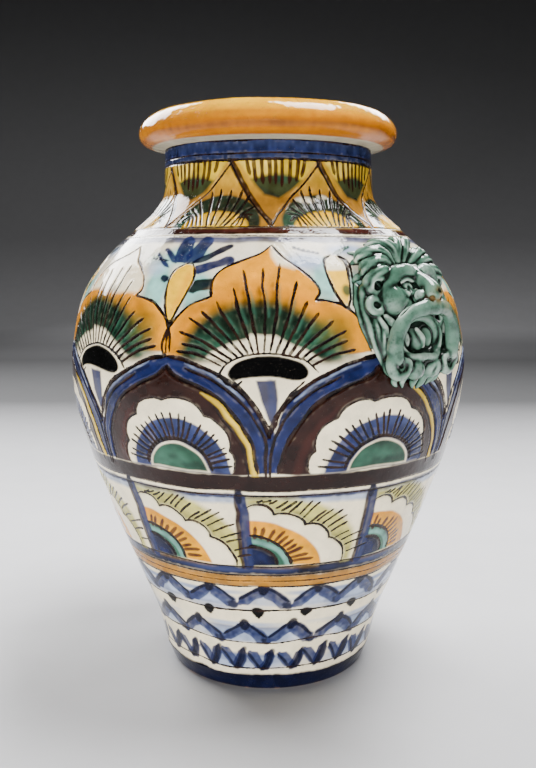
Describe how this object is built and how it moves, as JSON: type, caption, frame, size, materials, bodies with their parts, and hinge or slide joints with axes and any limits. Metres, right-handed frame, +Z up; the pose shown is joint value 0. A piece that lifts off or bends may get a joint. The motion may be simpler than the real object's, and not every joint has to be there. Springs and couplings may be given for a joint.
{
  "type": "pottery vase",
  "caption": "Tin-glazed pottery vase with a rolled rim, short neck, wide shoulder and narrow foot, and a green lion mask in relief on each side.",
  "frame": {"origin": "centre of the foot, on the surface that the vase stands on", "axes": "+Z up the vase's axis, the masks face +X and -X"},
  "size_m": [0.2372, 0.215, 0.301],
  "materials": {
    "painted_tin_glaze": "glossy white tin glaze, hand painted in cobalt, ochre, yellow, green and manganese brown",
    "ochre_rim_glaze": "glossy ochre glaze",
    "green_mask_glaze": "glossy green glaze, pooled dark in the hollows"
  },
  "bodies": {
    "root": {"foot_ring": "painted_tin_glaze", "floor_disc": "painted_tin_glaze", "lower_wall": "painted_tin_glaze", "belly_wall": "painted_tin_glaze", "neck_collar": "painted_tin_glaze", "rim_roll": "ochre_rim_glaze", "mask_right_pad": "green_mask_glaze", "mask_right_cheeks": "green_mask_glaze", "mask_right_nose": "green_mask_glaze", "mask_right_eyes": "green_mask_glaze", "mask_right_brows": "green_mask_glaze", "mask_right_mouth_ring": "green_mask_glaze", "mask_right_tongue": "green_mask_glaze", "mask_right_lip_roll": "green_mask_glaze", "mask_right_lip_curls": "green_mask_glaze", "mask_right_beard": "green_mask_glaze", "mask_right_ears": "green_mask_glaze", "mask_right_strands": "green_mask_glaze", "mask_right_locks": "green_mask_glaze", "mask_left_pad": "green_mask_glaze", "mask_left_cheeks": "green_mask_glaze", "mask_left_nose": "green_mask_glaze", "mask_left_eyes": "green_mask_glaze", "mask_left_brows": "green_mask_glaze", "mask_left_mouth_ring": "green_mask_glaze", "mask_left_tongue": "green_mask_glaze", "mask_left_lip_roll": "green_mask_glaze", "mask_left_lip_curls": "green_mask_glaze", "mask_left_beard": "green_mask_glaze", "mask_left_ears": "green_mask_glaze", "mask_left_strands": "green_mask_glaze", "mask_left_locks": "green_mask_glaze"}
  },
  "joints": []
}
